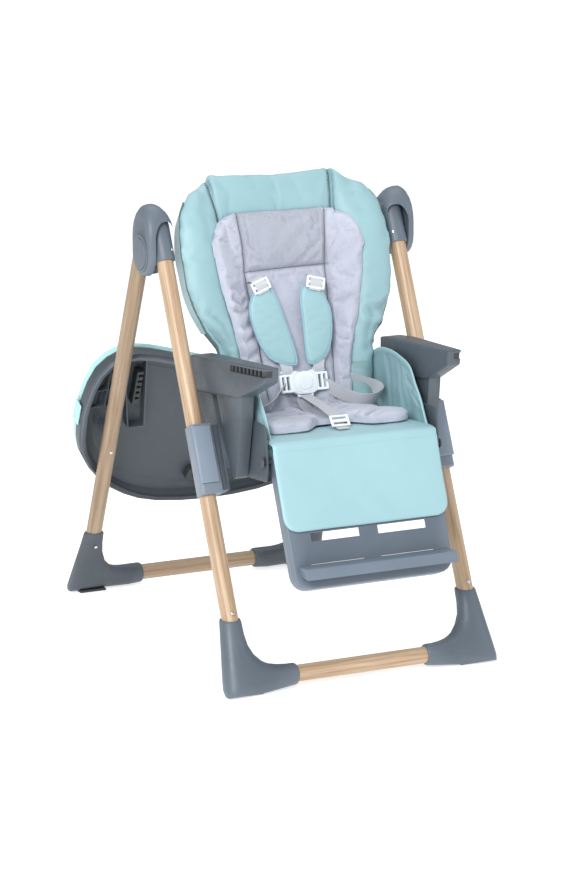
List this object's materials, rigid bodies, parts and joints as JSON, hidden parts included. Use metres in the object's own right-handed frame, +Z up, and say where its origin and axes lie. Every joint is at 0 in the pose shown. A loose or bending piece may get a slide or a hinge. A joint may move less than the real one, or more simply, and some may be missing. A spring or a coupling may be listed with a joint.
{
  "type": "baby high chair",
  "caption": "Folding baby high chair with padded reclining seat, height sliders, calf rest, harness and a tray stored behind the rear legs",
  "frame": {"origin": "on the floor, at the centre of the chair's bounding box", "axes": "+Z up, -Y the way the chair faces, +X the seated child's left hand"},
  "size_m": [0.636, 0.9316, 0.9146],
  "materials": {
    "slate_plastic": "satin moulded",
    "dark_plastic": "satin moulded",
    "wood_tube": "oak print, satin",
    "mint_vinyl": "soft coated cloth over foam",
    "mint_plastic": "gloss",
    "grey_fabric": "soft padded cloth",
    "webbing": "woven tape",
    "white_plastic": "gloss",
    "steel": "satin",
    "rubber": "matt"
  },
  "bodies": {
    "base_frame": {"front_leg_left": "wood_tube", "front_leg_right": "wood_tube", "front_foot_left": "slate_plastic", "front_foot_right": "slate_plastic", "front_foot_pad_left": "rubber", "front_foot_pad_right": "rubber", "front_crossbar": "wood_tube", "front_hub_socket_left": "slate_plastic", "front_hub_socket_right": "slate_plastic", "hub_pivot_pin_left": "steel", "hub_pivot_pin_right": "steel"},
    "rear_frame": {"rear_leg_left": "wood_tube", "rear_leg_right": "wood_tube", "rear_foot_left": "slate_plastic", "rear_foot_right": "slate_plastic", "rear_foot_pad_left": "rubber", "rear_foot_pad_right": "rubber", "rear_crossbar": "wood_tube", "hub_shell_left": "slate_plastic", "hub_shell_right": "slate_plastic"},
    "hub_button_left": {"hub_button_left": "slate_plastic"},
    "hub_button_right": {"hub_button_right": "slate_plastic"},
    "tray": {"tray_base": "slate_plastic"},
    "tray_insert": {"tray_insert": "mint_plastic"},
    "tray_latch_left": {"tray_latch_left": "dark_plastic"},
    "tray_latch_right": {"tray_latch_right": "dark_plastic"},
    "tray_release_handle": {"tray_release_handle": "dark_plastic"},
    "seat_carriage": {"slider_sleeve_left": "slate_plastic", "slider_sleeve_right": "slate_plastic", "armrest_left": "slate_plastic", "armrest_right": "slate_plastic", "seat_pan": "slate_plastic", "seat_cushion": "mint_vinyl", "liner_seat": "grey_fabric", "side_drape_left": "mint_vinyl", "side_drape_right": "mint_vinyl", "crotch_strap": "webbing", "crotch_adjuster": "white_plastic", "waist_strap_left": "webbing", "waist_strap_right": "webbing", "buckle_body": "white_plastic"},
    "buckle_button": {"buckle_button": "white_plastic"},
    "height_lever_left": {"height_lever_left": "slate_plastic"},
    "height_lever_right": {"height_lever_right": "slate_plastic"},
    "backrest": {"backrest_shell": "slate_plastic", "back_cushion": "mint_vinyl", "liner_back": "grey_fabric", "shoulder_pad_left": "mint_vinyl", "shoulder_pad_right": "mint_vinyl", "shoulder_adjuster_left": "white_plastic", "shoulder_adjuster_right": "white_plastic"},
    "recline_handle": {"recline_handle": "dark_plastic"},
    "calf_rest": {"calf_panel": "slate_plastic", "calf_cushion": "mint_vinyl"},
    "calf_button_left": {"calf_button_left": "dark_plastic"},
    "calf_button_right": {"calf_button_right": "dark_plastic"},
    "footplate": {"footplate": "slate_plastic"}
  },
  "joints": [
    {"name": "frame_fold", "type": "hinge", "parent": "base_frame", "child": "rear_frame", "pos_m": [0, 0.0128, 0.776], "axis": [-1, 0, 0], "range_deg": [0, 40]},
    {"name": "hub_button_left_press", "type": "slide", "parent": "rear_frame", "child": "hub_button_left", "axis": [-1, 0, 0], "range_m": [0, 0.002], "stiffness_N_per_m": 500, "springref_m": -0.002},
    {"name": "hub_button_right_press", "type": "slide", "parent": "rear_frame", "child": "hub_button_right", "axis": [1, 0, 0], "range_m": [0, 0.002], "stiffness_N_per_m": 500, "springref_m": -0.002},
    {"name": "tray_lift", "type": "slide", "parent": "rear_frame", "child": "tray", "axis": [0, -0.454, 0.891], "range_m": [0, 0.06]},
    {"name": "tray_insert_lift", "type": "slide", "parent": "tray", "child": "tray_insert", "axis": [0, 0.891, 0.454], "range_m": [0, 0.04]},
    {"name": "tray_release_pull", "type": "slide", "parent": "tray", "child": "tray_release_handle", "axis": [0, 0.454, -0.891], "range_m": [0, 0.006], "stiffness_N_per_m": 400, "springref_m": -0.004},
    {"name": "tray_latch_left_slide", "type": "slide", "parent": "tray", "child": "tray_latch_left", "axis": [1, 0, 0], "range_m": [0, 0.003]},
    {"name": "tray_latch_right_slide", "type": "slide", "parent": "tray", "child": "tray_latch_right", "axis": [-1, 0, 0], "range_m": [0, 0.003]},
    {"name": "seat_height", "type": "slide", "parent": "base_frame", "child": "seat_carriage", "axis": [0, -0.4179, -0.9085], "range_m": [-0.105, 0.105]},
    {"name": "height_lever_left_squeeze", "type": "hinge", "parent": "seat_carriage", "child": "height_lever_left", "pos_m": [0.246, -0.23303, 0.37743], "axis": [1, 0, 0], "range_deg": [0, 10], "stiffness_Nm_per_rad": 1, "springref_deg": -8.59},
    {"name": "height_lever_right_squeeze", "type": "hinge", "parent": "seat_carriage", "child": "height_lever_right", "pos_m": [-0.246, -0.23303, 0.37743], "axis": [1, 0, 0], "range_deg": [0, 10], "stiffness_Nm_per_rad": 1, "springref_deg": -8.59},
    {"name": "back_recline", "type": "hinge", "parent": "seat_carriage", "child": "backrest", "pos_m": [0, -0.0722, 0.452], "axis": [1, 0, 0], "range_deg": [-35, 0]},
    {"name": "recline_handle_lift", "type": "slide", "parent": "backrest", "child": "recline_handle", "axis": [0, 0.2924, 0.9563], "range_m": [0, 0.01], "stiffness_N_per_m": 400, "springref_m": -0.004},
    {"name": "buckle_button_press", "type": "slide", "parent": "seat_carriage", "child": "buckle_button", "axis": [0, 0.9563, -0.2924], "range_m": [0, 0.002], "stiffness_N_per_m": 500, "springref_m": -0.002},
    {"name": "calf_raise", "type": "hinge", "parent": "seat_carriage", "child": "calf_rest", "pos_m": [0, -0.3272, 0.428], "axis": [-1, 0, 0], "range_deg": [0, 60]},
    {"name": "calf_button_left_press", "type": "slide", "parent": "calf_rest", "child": "calf_button_left", "axis": [-1, 0, 0], "range_m": [0, 0.003], "stiffness_N_per_m": 500, "springref_m": -0.002},
    {"name": "calf_button_right_press", "type": "slide", "parent": "calf_rest", "child": "calf_button_right", "axis": [1, 0, 0], "range_m": [0, 0.003], "stiffness_N_per_m": 500, "springref_m": -0.002},
    {"name": "footplate_pull", "type": "slide", "parent": "calf_rest", "child": "footplate", "axis": [0, -0.9239, 0.3827], "range_m": [0, 0.008]}
  ],
  "couplings": [
    {"joint": "tray_latch_left_slide", "follows": "tray_release_pull", "ratio": 0.5},
    {"joint": "tray_latch_right_slide", "follows": "tray_release_pull", "ratio": 0.5}
  ]
}
